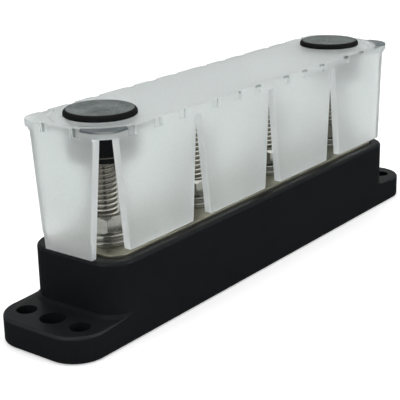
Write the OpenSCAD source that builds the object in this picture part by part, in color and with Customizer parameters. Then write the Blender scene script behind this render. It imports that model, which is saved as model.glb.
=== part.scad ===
// Four-stud power bus bar on a moulded base, with a slotted cover held by two screw-on knobs.
// Millimetres. X runs along the bar, Z is up, and the origin is at the middle of the underside.

/* [Base] */
// Overall length over the two screw ears
base_l = 201.7; // [190:0.1:230]
// Width of the base, ears and block alike
base_w = 37; // [34:0.1:44]
// Thickness of the screw ears
ear_t = 8.6; // [5:0.1:12]
// Corner radius of the ears in plan
ear_corner_r = 10.4; // [4:0.1:14]
// Length of each ear, from the block to the end
ear_l = 16.85; // [14:0.05:24]
// Corner radius of the block in plan
block_corner_r = 9; // [7:0.1:12]
// Height of the block's rim above the mounting face
block_h = 26.2; // [23:0.1:34]
// Width of the rim around the bar
rim_w = 3.1; // [2.9:0.05:4]
// Width of the rim beyond the ends of the bar
rim_end_w = 4.7; // [4:0.05:6]
// Chamfer where the block stands on the ears
foot_chamfer = 1.2; // [0.5:0.1:3]
// Distance of the ear holes from the end of the base
ear_hole_inset = 8.85; // [7:0.05:10]
// Distance of the outer ear holes from the side of the base
ear_hole_edge = 7.45; // [6:0.05:8]
// Diameter of the outer ear holes
screw_hole_d = 6.5; // [4:0.1:7.5]
// Diameter of the middle ear hole
bolt_hole_d = 8.1; // [5:0.1:10]
// Wall left around the hollows of the underside
core_wall = 4; // [2.5:0.1:6]
// Solid left under the bar above those hollows
core_roof = 5; // [3:0.1:8]
// Corner radius of those hollows
core_corner_r = 2; // [1:0.1:4]
// Length of the solid boss around each stud
boss_l = 22; // [19:0.1:28]

/* [Bus plate] */
// Thickness of the bar
plate_t = 6; // [4:0.1:8]
// How far the bar stands above the rim
plate_rise = 0.7; // [0.3:0.05:2]
// Gap between the bar and the rim
plate_gap = 0.5; // [0.3:0.05:0.8]

/* [Studs and hardware] */
// Distance of the end studs from the ends of the block
stud_end_gap = 17.25; // [16:0.05:20]
// Outside diameter of the stud thread
stud_d = 9.525; // [8:0.005:10]
// Stud length above the bar
stud_rise = 25.4; // [22:0.1:26]
// Extra length of the two end studs, which carry the knobs
end_stud_extra = 9.5; // [7:0.1:10]
// Chamfer at the free end of a stud
stud_chamfer = 0.9; // [0.3:0.1:1.5]
// Hex size of the stud head across flats
head_af = 14.29; // [13:0.01:16]
// Height of the stud head
head_h = 6.1; // [4:0.1:8]
// Depth of the stud head below the mounting face
head_recess = 1; // [0.3:0.1:3]
// Clearance around the head in its pocket
head_clear = 0.3; // [0.1:0.05:0.6]
// Clearance of the plain holes around a stud
stud_clear = 0.35; // [0.3:0.05:0.6]
// Clearance of the threaded holes on a stud
thread_clear = 0.09; // [0.05:0.01:0.1]
// Outside diameter of the flat washer
flat_washer_d = 20.6; // [18:0.1:24]
// Thickness of the flat washer
flat_washer_t = 1.5; // [1:0.1:2.5]
// Outside diameter of the spring washer
spring_washer_d = 17.3; // [15:0.1:18]
// Thickness of the spring washer
spring_washer_t = 1.6; // [1:0.1:2.5]
// Width of the split in the spring washer
spring_split = 1.2; // [0.5:0.1:2]
// Slant of that split in degrees
spring_slant = 25; // [0:1:40]
// Turn of the split around the stud in degrees
spring_turn = 160; // [0:5:355]
// Hex size of the nut across flats
nut_af = 14.29; // [13:0.01:16]
// Height of the nut
nut_h = 5.6; // [4:0.1:9]
// Turn of the nut around the stud in degrees
nut_turn = 46; // [0:1:59]

/* [Cover] */
// Height of the cover above the rim
cover_h = 40; // [38:0.1:41]
// Thickness of the cover's top
cover_top_t = 2.2; // [1.5:0.1:2.4]
// Thickness of the cover's panels
panel_t = 2.6; // [1.5:0.1:2.9]
// Height of the flange around the top
flange_h = 2.9; // [2.6:0.1:5]
// Corner radius of the flange in plan
flange_corner_r = 6.5; // [5.5:0.1:9]
// How far the flange stands back from the block's long sides
flange_side_inset = 0.55; // [0.2:0.05:1]
// How far the flange reaches past the block's ends
flange_end_over = 0.65; // [0.3:0.05:1]
// How far the flange overhangs the panels
flange_lip = 0.6; // [0.4:0.05:1.2]
// How far the feet of the long panels stand back from the sides of the base
foot_side_inset = 0.45; // [0.1:0.05:1]
// How far the feet of the end panels reach past the block's ends
foot_end_over = 0.4; // [0:0.05:0.6]
// Gap between the long panels and the rim
side_gap = 2.9; // [1:0.1:6]
// How much shorter than the block the four long panels and their slits are, at each end
slit_end_gap = 2.6; // [0:0.1:4]
// Width of a slit at its upper end
slit_top_w = 2.4; // [1.5:0.1:5]
// Width of a slit at its lower end
slit_bottom_w = 9.2; // [6:0.1:12]
// Distance of the outer long panels' upper corners from the ends of the block
side_top_inset = 5.6; // [4:0.1:7]
// Distance of the outer long panels' lower corners from the ends of the block
side_bottom_inset = 8.1; // [5:0.1:10]
// Distance of an end panel's upper corners from the sides of the base
end_top_inset = 5.7; // [5.2:0.1:8]
// Distance of an end panel's lower corners from the sides of the base
end_bottom_inset = 9; // [6:0.1:11]
// Height of the stepped band at the foot of an end panel
end_step_h = 5.3; // [3:0.1:10]
// Depth of that step
end_step_d = 0.5; // [0.2:0.05:1]
// Width of the notches in the flange
notch_w = 3.6; // [1.5:0.1:4]
// Depth of the notches in the flange
notch_d = 1.1; // [0.8:0.1:2.2]
// Part of a panel's length that its three notches leave out
notch_gap = 5.3; // [3:0.1:9]
// Distance of the end notches from the sides of the base
end_notch_inset = 12.3; // [11:0.1:14]
// Radius of the score line around a knob, across the cover's corners
score_r = 15.2; // [14:0.1:16]
// Width of that score line
score_w = 0.9; // [0.5:0.1:1.5]
// Depth of that score line
score_d = 0.4; // [0.2:0.05:0.8]

/* [Cover knobs] */
// Diameter of a knob's head
knob_d = 22.7; // [21.5:0.1:26]
// Height of a knob's head
knob_h = 2.1; // [1.6:0.1:4]
// Rounding of the head's upper edge
knob_edge_r = 1.3; // [0.5:0.1:1.5]
// Diameter of a knob's stem
knob_stem_d = 20; // [15:0.1:20.5]
// Length of the stem below the cover's top face
knob_stem_l = 13.3; // [12:0.1:13.5]
// Height of the tapered tip of the stem
knob_tip_h = 2; // [1:0.1:4]
// How far the tip tapers inwards
knob_tip_in = 0.9; // [0.3:0.1:2]
// Clearance of the stem in the cover
knob_clear = 0.35; // [0.3:0.05:0.6]
// Free depth of a knob's bore above its stud
knob_bore_room = 0.6; // [0.3:0.1:1]

/* [Hidden] */
$fn = 96;

// Allowance for cuts that pass a face
eps = 1;
sides = [-1, 1];
stud_numbers = [1, 2, 3, 4];

block_l = base_l - 2 * ear_l;
stud_pitch = (block_l - 2 * stud_end_gap) / 3;
ear_hole_x = base_l / 2 - ear_hole_inset;
ear_hole_y = base_w / 2 - ear_hole_edge;

stud_r = stud_d / 2;
head_r = head_af / sqrt(3);
plain_hole_r = stud_r + stud_clear;
thread_hole_r = stud_r + thread_clear;

pocket_l = block_l - 2 * rim_end_w;
pocket_w = base_w - 2 * rim_w;
pocket_r = block_corner_r - rim_w;
pocket_z = block_h - plate_t + plate_rise;
plate_z = block_h + plate_rise;
core_l = stud_pitch - boss_l;
core_w = base_w - 2 * core_wall;
core_z = pocket_z - core_roof;

head_z = head_recess;
shank_z = head_recess + head_h;
stud_z = plate_z + stud_rise;
flat_washer_z = plate_z;
spring_washer_z = flat_washer_z + flat_washer_t;
nut_z = spring_washer_z + spring_washer_t;
nut_chamfer = 0.5 * nut_af * (2 / sqrt(3) - 1);

top_z = block_h + cover_h;
roof_z = top_z - cover_top_t;
flange_z = top_z - flange_h;
side_z = block_h + side_gap;
slit_pitch = (block_l - 2 * slit_end_gap) / 4;
notch_pitch = (slit_pitch - notch_gap) / 3;
end_top_y = base_w / 2 - end_top_inset;
end_bottom_y = base_w / 2 - end_bottom_inset;
end_notch_y = base_w / 2 - end_notch_inset;
flange_l = block_l + 2 * flange_end_over;
flange_w = base_w - 2 * flange_side_inset;
panel_l = flange_l - 2 * flange_lip;
panel_w = flange_w - 2 * flange_lip;
foot_l = block_l + 2 * foot_end_over;
foot_w = base_w - 2 * foot_side_inset;
roof_corner_r = flange_corner_r - flange_lip - panel_t;
side_top_x = block_l / 2 - side_top_inset;
side_bottom_x = block_l / 2 - side_bottom_inset;
knob_z = top_z - knob_stem_l;
knob_bore_z = stud_z + end_stud_extra + knob_bore_room;

black = [0.09, 0.1, 0.1];
tin = [0.72, 0.69, 0.64];
steel = [0.7, 0.69, 0.66];
frosted = [0.8, 0.84, 0.83];

// Place of a stud along the bar, counted from the -X end
function stud_x(i) = (i - 2.5) * stud_pitch;

// End studs are the ones under the knobs
function is_end(i) = i == 1 || i == 4;

// Free end of a stud
function stud_end(i) = stud_z + (is_end(i) ? end_stud_extra : 0);

module rounded_rect(l, w, r) {
    square([l - 2 * r, w], center = true);
    square([l, w - 2 * r], center = true);
    for (sx = sides, sy = sides) {
        translate([sx * (l / 2 - r), sy * (w / 2 - r)]) circle(r);
    }
}

// Block whose four sides lean, given by its plan at two heights
module draft_block(l_low, w_low, z_low, l_high, w_high, z_high) {
    intersection() {
        rotate([90, 0, 0])
            linear_extrude(2 * base_w, center = true)
                polygon([
                    [-l_low / 2, z_low], [l_low / 2, z_low],
                    [l_high / 2, z_high], [-l_high / 2, z_high]
                ]);
        rotate([90, 0, 90])
            linear_extrude(2 * block_l, center = true)
                polygon([
                    [-w_low / 2, z_low], [w_low / 2, z_low],
                    [w_high / 2, z_high], [-w_high / 2, z_high]
                ]);
    }
}

// Sloping foot of the block, only where it stands on an ear
module foot(side) {
    arc_x = side * (block_l / 2 - block_corner_r);
    arc_y = base_w / 2 - block_corner_r;
    intersection() {
        linear_extrude(ear_t + foot_chamfer) rounded_rect(base_l, base_w, ear_corner_r);
        union() {
            for (sy = sides) {
                translate([arc_x, sy * arc_y, ear_t])
                    rotate_extrude()
                        polygon([
                            [0, -eps], [block_corner_r + foot_chamfer, -eps],
                            [block_corner_r + foot_chamfer, 0], [block_corner_r, foot_chamfer],
                            [0, foot_chamfer]
                        ]);
            }
            translate([side * block_l / 2, 0, ear_t])
                rotate([90, 0, 0])
                    linear_extrude(2 * arc_y, center = true)
                        polygon([
                            [-side * eps, -eps], [side * foot_chamfer, -eps], [side * foot_chamfer, 0],
                            [0, foot_chamfer], [-side * eps, foot_chamfer]
                        ]);
        }
    }
}

module base() {
    color(black)
    difference() {
        union() {
            linear_extrude(ear_t) rounded_rect(base_l, base_w, ear_corner_r);
            linear_extrude(block_h) rounded_rect(block_l, base_w, block_corner_r);
            for (side = sides) foot(side);
        }
        translate([0, 0, pocket_z]) linear_extrude(plate_t + eps) rounded_rect(pocket_l, pocket_w, pocket_r);
        for (side = sides) {
            translate([side * ear_hole_x, 0, -eps]) cylinder(d = bolt_hole_d, h = ear_t + 2 * eps);
            for (sy = sides) {
                translate([side * ear_hole_x, sy * ear_hole_y, -eps])
                    cylinder(d = screw_hole_d, h = ear_t + 2 * eps);
            }
        }
        for (i = stud_numbers) {
            translate([stud_x(i), 0, 0]) {
                cylinder(r = plain_hole_r, h = block_h);
                translate([0, 0, -eps]) cylinder(r = head_r + head_clear, h = shank_z + eps, $fn = 6);
            }
        }
        for (i = [1, 2, 3]) {
            translate([stud_x(i) + stud_pitch / 2, 0, -eps])
                linear_extrude(core_z + eps) rounded_rect(core_l, core_w, core_corner_r);
        }
    }
}

module bus_plate() {
    color(tin)
    translate([0, 0, pocket_z])
        difference() {
            linear_extrude(plate_t)
                rounded_rect(pocket_l - 2 * plate_gap, pocket_w - 2 * plate_gap, pocket_r - plate_gap);
            for (i = stud_numbers) {
                translate([stud_x(i), 0, -eps]) cylinder(r = plain_hole_r, h = plate_t + 2 * eps);
            }
        }
}

module stud(i) {
    color(steel)
    translate([stud_x(i), 0, 0]) {
        translate([0, 0, head_z]) cylinder(r = head_r, h = head_h, $fn = 6);
        rotate_extrude()
            polygon([
                [0, shank_z - eps], [stud_r, shank_z - eps],
                [stud_r, stud_end(i) - stud_chamfer], [stud_r - stud_chamfer, stud_end(i)],
                [0, stud_end(i)]
            ]);
    }
}

module flat_washer(i) {
    color(steel)
    translate([stud_x(i), 0, flat_washer_z])
        difference() {
            cylinder(d = flat_washer_d, h = flat_washer_t);
            translate([0, 0, -eps]) cylinder(r = plain_hole_r, h = flat_washer_t + 2 * eps);
        }
}

module spring_washer(i) {
    color(steel)
    translate([stud_x(i), 0, spring_washer_z])
        difference() {
            cylinder(d = spring_washer_d, h = spring_washer_t);
            translate([0, 0, -eps]) cylinder(r = plain_hole_r, h = spring_washer_t + 2 * eps);
            rotate([0, 0, spring_turn])
                translate([spring_washer_d / 2, 0, spring_washer_t / 2])
                    rotate([spring_slant, 0, 0])
                        cube([spring_washer_d - stud_d, spring_split, 6 * spring_washer_t], center = true);
        }
}

module hex_nut(i) {
    corner_r = nut_af / sqrt(3);
    flat_r = nut_af / 2;
    color(steel)
    translate([stud_x(i), 0, nut_z])
        difference() {
            intersection() {
                rotate([0, 0, nut_turn]) cylinder(r = corner_r, h = nut_h, $fn = 6);
                rotate_extrude()
                    polygon([
                        [0, 0], [flat_r - 0.2, 0],
                        [corner_r + 0.2, nut_chamfer], [corner_r + 0.2, nut_h - nut_chamfer],
                        [flat_r - 0.2, nut_h], [0, nut_h]
                    ]);
            }
            translate([0, 0, -eps]) cylinder(r = thread_hole_r, h = nut_h + 2 * eps);
        }
}

// Gap between two long panels, cut through both long sides
module slit(x) {
    lean = (slit_bottom_w - slit_top_w) / 2 / (flange_z - side_z);
    low_z = block_h - eps;
    low_w = slit_top_w / 2 + lean * (flange_z - low_z);
    translate([x, 0, 0])
        rotate([90, 0, 0])
            linear_extrude(2 * base_w, center = true)
                polygon([
                    [-low_w, low_z], [low_w, low_z],
                    [slit_top_w / 2, flange_z], [-slit_top_w / 2, flange_z]
                ]);
}

// Open corner between a long panel and an end panel, up to the cover's top
module corner_slit(sx, sy) {
    low_z = block_h - eps;
    side_lean = (side_top_x - side_bottom_x) / (roof_z - side_z);
    low_x = side_bottom_x - side_lean * (side_z - low_z);
    end_lean = (end_top_y - end_bottom_y) / (roof_z - block_h);
    low_y = end_bottom_y - end_lean * eps;
    mirror([sx < 0 ? 1 : 0, 0, 0])
        mirror([0, sy < 0 ? 1 : 0, 0])
            intersection() {
                rotate([90, 0, 0])
                    linear_extrude(4 * base_w, center = true)
                        polygon([
                            [low_x, low_z], [base_l / 2, low_z],
                            [base_l / 2, roof_z], [side_top_x, roof_z]
                        ]);
                rotate([90, 0, 90])
                    linear_extrude(base_l)
                        polygon([
                            [low_y, low_z], [base_w, low_z],
                            [base_w, roof_z], [end_top_y, roof_z]
                        ]);
            }
}

// Shallow step at the foot of an end panel, parallel to its leaning face
module end_step(side) {
    lean = (foot_l - panel_l) / 2 / (flange_z - block_h);
    face_x = foot_l / 2 - end_step_d;
    mirror([side < 0 ? 1 : 0, 0, 0])
        rotate([90, 0, 0])
            linear_extrude(2 * base_w, center = true)
                polygon([
                    [face_x + lean * eps, block_h - eps], [block_l, block_h - eps],
                    [block_l, block_h + end_step_h],
                    [face_x - lean * end_step_h, block_h + end_step_h]
                ]);
}

// Notch in the flange over both long sides
module side_notch(x) {
    for (sy = sides) {
        translate([x, sy * (flange_w / 2 - notch_d + base_w / 2), flange_z + flange_h])
            cube([notch_w, base_w, 2 * flange_h], center = true);
    }
}

// Shallow line around a knob, only across one corner of the cover
module corner_score(sx, sy) {
    mirror([sx < 0 ? 1 : 0, 0, 0])
        mirror([0, sy < 0 ? 1 : 0, 0])
            intersection() {
                translate([stud_x(4), 0, top_z - score_d])
                    difference() {
                        cylinder(r = score_r + score_w, h = score_d + eps);
                        translate([0, 0, -eps]) cylinder(r = score_r, h = score_d + 3 * eps);
                    }
                translate([stud_x(4), end_notch_y - notch_w / 2, roof_z])
                    cube([block_l, base_w, 2 * cover_top_t]);
                translate([1.5 * slit_pitch + notch_pitch - notch_w / 2, 0, roof_z])
                    cube([block_l, base_w, 2 * cover_top_t]);
            }
}

module cover() {
    inner = 2 * panel_t;
    color(frosted, 0.55)
    difference() {
        union() {
            translate([0, 0, flange_z]) linear_extrude(flange_h) rounded_rect(flange_l, flange_w, flange_corner_r);
            draft_block(foot_l, foot_w, block_h, panel_l, panel_w, flange_z);
        }
        draft_block(
            foot_l - inner, foot_w - inner, block_h,
            panel_l - inner, panel_w - inner, flange_z
        );
        translate([0, 0, flange_z])
            linear_extrude(roof_z - flange_z) rounded_rect(panel_l - inner, panel_w - inner, roof_corner_r);
        translate([0, 0, block_h - eps + side_gap / 2])
            cube([2 * side_top_x, 2 * base_w, side_gap + 2 * eps], center = true);
        for (k = [-1, 0, 1]) slit(k * slit_pitch);
        for (k = [-1.5, -0.5, 0.5, 1.5], n = [-1, 0, 1]) side_notch(k * slit_pitch + n * notch_pitch);
        for (side = sides) {
            end_step(side);
            for (sy = sides) {
                corner_slit(side, sy);
                corner_score(side, sy);
                translate([side * (flange_l - notch_d), sy * end_notch_y, flange_z + flange_h])
                    cube([flange_l, notch_w, 2 * flange_h], center = true);
            }
        }
        for (i = [1, 4]) {
            translate([stud_x(i), 0, roof_z - eps]) cylinder(d = knob_stem_d + 2 * knob_clear, h = cover_top_t + 2 * eps);
        }
    }
}

module cover_knob(i) {
    stem_r = knob_stem_d / 2;
    head_r = knob_d / 2;
    color(black)
    translate([stud_x(i), 0, 0])
        difference() {
            union() {
                translate([0, 0, top_z])
                    rotate_extrude() {
                        square([head_r - knob_edge_r, knob_h]);
                        square([head_r, knob_h - knob_edge_r]);
                        intersection() {
                            translate([head_r - knob_edge_r, knob_h - knob_edge_r]) circle(knob_edge_r);
                            square([head_r, knob_h]);
                        }
                    }
                rotate_extrude()
                    polygon([
                        [0, knob_z], [stem_r - knob_tip_in, knob_z], [stem_r, knob_z + knob_tip_h],
                        [stem_r, top_z + knob_h / 2], [0, top_z + knob_h / 2]
                    ]);
            }
            translate([0, 0, knob_z - eps]) cylinder(r = thread_hole_r, h = knob_bore_z - knob_z + eps);
        }
}

base();
bus_plate();
stud(1);  // stud_1
stud(2);  // stud_2
stud(3);  // stud_3
stud(4);  // stud_4
flat_washer(1);  // flat_washer_1
flat_washer(2);  // flat_washer_2
flat_washer(3);  // flat_washer_3
flat_washer(4);  // flat_washer_4
spring_washer(1);  // spring_washer_1
spring_washer(2);  // spring_washer_2
spring_washer(3);  // spring_washer_3
spring_washer(4);  // spring_washer_4
hex_nut(1);  // hex_nut_1
hex_nut(2);  // hex_nut_2
hex_nut(3);  // hex_nut_3
hex_nut(4);  // hex_nut_4
cover();
cover_knob(1);  // cover_knob_1
cover_knob(4);  // cover_knob_2
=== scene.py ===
"""Looks of the covered four-stud bus bar: finished pieces, materials and a studio around its solids."""

import math

import bmesh
import bpy
from bpy.props import FloatProperty, FloatVectorProperty, IntProperty, PointerProperty
from mathutils import Matrix, Vector


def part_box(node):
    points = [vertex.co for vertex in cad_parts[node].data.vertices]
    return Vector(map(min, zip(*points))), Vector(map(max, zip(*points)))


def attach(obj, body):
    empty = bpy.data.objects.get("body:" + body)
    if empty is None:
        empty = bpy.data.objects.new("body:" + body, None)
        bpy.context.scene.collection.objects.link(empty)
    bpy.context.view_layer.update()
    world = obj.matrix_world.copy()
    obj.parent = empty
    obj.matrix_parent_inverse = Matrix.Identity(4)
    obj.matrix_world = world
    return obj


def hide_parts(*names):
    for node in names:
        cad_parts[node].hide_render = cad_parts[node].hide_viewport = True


bl_info = {
    "name": "Four-stud bus bar",
    "version": (1, 0, 0),
    "blender": (4, 5, 0),
    "location": "View3D > Sidebar > Bus bar",
    "description": "Dresses the solids of a covered four-stud bus bar and sets them in a studio",
    "category": "Object",
}

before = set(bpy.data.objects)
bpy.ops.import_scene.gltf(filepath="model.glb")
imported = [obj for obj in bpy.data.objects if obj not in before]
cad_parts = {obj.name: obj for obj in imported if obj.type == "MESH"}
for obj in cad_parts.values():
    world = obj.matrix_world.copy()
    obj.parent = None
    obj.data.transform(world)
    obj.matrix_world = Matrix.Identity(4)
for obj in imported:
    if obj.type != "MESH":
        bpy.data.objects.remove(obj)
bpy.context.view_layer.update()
STUDS = (1, 2, 3, 4)
MERGE = 1e-6
WHITE = (1.0, 1.0, 1.0, 1.0)

# Angles in degrees: of faces that are joined, of edges that count as steep, and of smooth shading
FLAT_ANGLE, STEEP_ANGLE, RING_ANGLE, KNOB_ANGLE = 0.3, 28.0, 35.0, 40.0


# Places read from the solids

def middle(node):
    """Centre of a solid's box."""
    low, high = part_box(node)
    return (low + high) / 2


STUD_X = [middle(f"stud_{i}").x for i in STUDS]
BASE_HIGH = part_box("base")[1]
COVER_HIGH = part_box("cover")[1]


# Sizes and colours that a user would change

def length(name, description, default):
    """A length in metres."""
    return FloatProperty(name=name, description=description, default=default, min=0.0,
                         unit="LENGTH", precision=5)


def steps(name, description, default, least):
    """A number of steps."""
    return IntProperty(name=name, description=description, default=default, min=least)


def colour(name, description, default):
    """A scene-linear colour."""
    return FloatVectorProperty(name=name, description=description, default=default, size=3,
                               min=0.0, max=1.0, subtype="COLOR")


class BusBarSizes(bpy.types.PropertyGroup):
    """Sizes of the details that finish the solids."""

    ear_h: length("Ear height", "Height of the ears' upper face", 0.0086)
    rim_round: length("Rim rounding", "Rounding of the block's outer upper edge", 0.0011)
    ear_round: length("Ear rounding", "Rounding of the ears' upper edge", 0.0009)
    foot_round: length("Foot rounding", "Rounding of the base's lower edge", 0.0006)
    recess_round: length("Recess rounding", "Rounding of the edge of the bar's recess", 0.0003)
    plate_round: length("Bar rounding", "Rounding of the bar's edges", 0.0004)
    cover_round: length("Cover rounding", "Rounding of the cover's edges", 0.00028)
    flange_h: length("Flange height", "Height of the cover's flange", 0.0029)
    score_r: length("Score radius", "Radius of the score line around a knob", 0.0152)
    corner_x: length("Corner start, long side", "Where the cover's corners begin along it", 0.0736)
    corner_y: length("Corner start, end", "Where the cover's corners begin across it", 0.0070)
    nut_round: length("Nut rounding", "Rounding of the nuts' upright edges", 0.00014)
    washer_round: length("Washer rounding", "Rounding of the washers' edges", 0.00025)
    thread_d: length("Thread diameter", "Outside diameter of the studs", 0.009525)
    thread_pitch: length("Thread pitch", "Rise of the thread in one turn", 0.0015875)
    thread_depth: length("Thread depth", "Depth of the thread's groove", 0.00095)
    plain_shank: length("Plain shank", "Plain length between a stud's head and its thread", 0.0122)
    head_af: length("Head size", "Size of the stud heads across flats", 0.01429)
    head_h: length("Head height", "Height of the stud heads", 0.0061)
    bore_d: length("Bore", "Plain hole through the washers", 0.010225)
    split_w: length("Washer split", "Width of the split in the spring washers", 0.0012)
    knob_stem_d: length("Stem diameter", "Diameter of the knobs' stems", 0.02)
    knob_bore_d: length("Knob bore", "Threaded bore of the knobs", 0.009705)
    knob_bore_l: length("Knob bore depth", "Depth of the knobs' bore", 0.0095)
    knob_edge: length("Knob edge", "Rounding of the knobs' upper edge", 0.0013)
    knob_crown: length("Knob crown", "Height of the dome on the knobs", 0.00015)
    thread_sides: steps("Thread sides", "Steps around a stud", 48, 12)
    thread_rows: steps("Thread rows", "Steps in one turn of the thread", 8, 4)
    ring_sides: steps("Ring sides", "Steps around a washer or knob", 96, 16)


class BusBarColours(bpy.types.PropertyGroup):
    """Colours of the finishes."""

    black: colour("Base black", "Moulded plastic of the base", (0.0086, 0.0094, 0.0104))
    knob: colour("Knob black", "Moulded plastic of the knobs", (0.007, 0.0073, 0.0076))
    # Dust and painted top light: faces that look up get paler, for dust and for the light that the knobs'
    # tops catch.
    dust: colour("Dust", "Fine dust on upward faces", (0.33, 0.375, 0.365))
    # Painted highlight: light lines on the knobs' upper edge and on the ridge near the foot of their stems.
    painted_highlight: colour("Worn edges", "Rubbed edges of the knobs", (0.17, 0.155, 0.13))
    frost: colour("Frosted cover", "Frosted plastic of the cover", (0.89, 0.93, 0.92))
    # Painted highlight on the cover's cut edges, where the frosted plastic gathers light.
    cut: colour("Cut edges", "Bright edges of the cover", (0.96, 0.98, 0.98))
    # Painted shade on one side of each notch's walls, for the dark refraction in the clear plastic.
    notch_shade: colour("Notches", "Glassy walls of the cover's notches", (0.30, 0.34, 0.33))
    # Painted dark band at the cover's front corners, for the knobs' black stems seen through the plastic.
    glass: colour("Glassy corners", "Clear bands across the cover's corners", (0.10, 0.125, 0.135))
    tin: colour("Tin plate", "Plated face of the bar", (0.32, 0.31, 0.245))
    stain: colour("Tin stain", "Darker patches in the plating", (0.19, 0.18, 0.14))
    steel: colour("Steel", "Thread crests of the studs", (0.82, 0.79, 0.73))
    zinc: colour("Zinc", "Nuts and washers", (0.42, 0.41, 0.38))
    # Painted shade in the thread roots.
    groove: colour("Groove", "Thread roots of the studs", (0.17, 0.16, 0.14))
    floor: colour("Floor", "Pale floor of the studio", (0.86, 0.86, 0.86))


def chosen(context):
    """The scene's sizes and colours."""
    return context.scene.busbar_sizes, context.scene.busbar_colours


# Node building

def connect(tree, socket, value):
    """Links a socket to another one, or sets its value."""
    if isinstance(value, bpy.types.NodeSocket):
        tree.links.new(value, socket)
    else:
        socket.default_value = value


def put(tree, kind, values=None, **settings):
    """Adds a node, sets its own settings, and fills its inputs with values or links."""
    node = tree.nodes.new(kind)
    for key, value in settings.items():
        setattr(node, key, value)
    for key, value in (values or {}).items():
        connect(tree, node.inputs[key], value)
    return node


def calc(tree, operation, *values, clamp=False):
    """One step of arithmetic."""
    node = put(tree, "ShaderNodeMath", dict(enumerate(values)), operation=operation, use_clamp=clamp)
    return node.outputs[0]


def scaled(tree, value, gain, offset, clamp=False):
    """A value times a gain, plus an offset."""
    return calc(tree, "ADD", calc(tree, "MULTIPLY", value, gain), offset, clamp=clamp)


def shares(tree, first, share, second, other_share):
    """Two values, each times its share, added up."""
    return scaled(tree, first, share, calc(tree, "MULTIPLY", second, other_share))


def passed(tree, value, level, gain):
    """From 0 to 1 as a value passes a level, and the steeper the higher the gain."""
    return calc(tree, "MULTIPLY", calc(tree, "SUBTRACT", value, level), gain, clamp=True)


def blend_colour(tree, factor, first, second, kind="MIX"):
    """Mixes two colours."""
    node = put(tree, "ShaderNodeMix", {0: factor, 6: first, 7: second}, data_type="RGBA", blend_type=kind)
    return node.outputs[2]


def noise(tree, vector, scale, detail, roughness=0.55):
    """Fractal noise from 0 to 1."""
    return put(tree, "ShaderNodeTexNoise", {
        "Vector": vector, "Scale": scale, "Detail": detail, "Roughness": roughness}).outputs[0]


def height_of(tree, vector):
    """The Z part of a vector."""
    return put(tree, "ShaderNodeSeparateXYZ", {0: vector}).outputs["Z"]


def attribute(tree, name):
    """A value that the piece's mesh carries."""
    return put(tree, "ShaderNodeAttribute", attribute_name=name).outputs["Fac"]


def light_path(tree):
    """The kinds of ray, and a mask of what the camera sees, straight on or through the cover."""
    path = put(tree, "ShaderNodeLightPath").outputs
    return path, calc(tree, "MAXIMUM", path["Is Camera Ray"], path["Is Transmission Ray"])


def new_group(name, kind, inputs, outputs):
    """An empty node group with named sockets, and its own input and output ends."""
    tree = bpy.data.node_groups.new(name, kind)
    for label, socket_type, default in inputs:
        socket = tree.interface.new_socket(label, in_out="INPUT", socket_type=socket_type)
        if default is not None:
            socket.default_value = default
    for label, socket_type in outputs:
        tree.interface.new_socket(label, in_out="OUTPUT", socket_type=socket_type)
    return tree, tree.nodes.new("NodeGroupInput").outputs, tree.nodes.new("NodeGroupOutput").inputs


def rgba(values):
    """A colour property as four numbers."""
    return (*values, 1.0)


# Effects that several finishes share

FLOAT, VECTOR = "NodeSocketFloat", "NodeSocketVector"
GEOMETRY, MATERIAL, WHOLE = "NodeSocketGeometry", "NodeSocketMaterial", "NodeSocketInt"


def moulded_grain():
    """Fine spark-eroded grain with slow clouds of sheen, as on moulded plastic."""
    tree, given, out = new_group(
        "moulded_grain", "ShaderNodeTree",
        [("Vector", VECTOR, None), ("Grain", FLOAT, 2500.0), ("Cloud", FLOAT, 60.0), ("Depth", FLOAT, 0.3)],
        [("Tone", FLOAT), ("Sheen", FLOAT), ("Height", FLOAT)])
    cell_ratio, fine_share, cell_share, mean_height = 0.62, 0.65, 0.5, 0.55
    fine = noise(tree, given["Vector"], given["Grain"], detail=3.0, roughness=0.6)
    cells = put(tree, "ShaderNodeTexVoronoi", {
        "Vector": given["Vector"], "Scale": calc(tree, "MULTIPLY", given["Grain"], cell_ratio)})
    drift = calc(tree, "SUBTRACT", noise(tree, given["Vector"], given["Cloud"], detail=3.0), 0.5)
    height = shares(tree, fine, fine_share, cells.outputs["Distance"], cell_share)
    swing = calc(tree, "ADD", drift, calc(tree, "SUBTRACT", height, mean_height))
    tree.links.new(scaled(tree, swing, given["Depth"], 1.0), out["Tone"])
    tree.links.new(calc(tree, "MULTIPLY", drift, given["Depth"]), out["Sheen"])
    tree.links.new(height, out["Height"])
    return tree


def dust_and_top_light_mask():
    """Mask of fine dust and painted top light, thick where a face looks up."""
    tree, given, out = new_group(
        "dust_and_top_light_mask", "ShaderNodeTree",
        [("Vector", VECTOR, None), ("Amount", FLOAT, 0.2)], [("Mask", FLOAT)])
    level, steepness = 0.955, 40.0
    film_scale, film_share = 140.0, 0.8
    speck_scale, speck_share, speck_level, speck_gain = 2600.0, 0.6, 0.56, 5.0
    up = height_of(tree, put(tree, "ShaderNodeNewGeometry").outputs["Normal"])
    dust_and_light = noise(tree, given["Vector"], film_scale, detail=4.0, roughness=0.65)
    specks = passed(tree, noise(tree, given["Vector"], speck_scale, detail=2.0), speck_level, speck_gain)
    lie = calc(tree, "MULTIPLY", shares(tree, dust_and_light, film_share, specks, speck_share),
               passed(tree, up, level, steepness))
    tree.links.new(calc(tree, "MULTIPLY", lie, given["Amount"], clamp=True), out["Mask"])
    return tree


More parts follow.
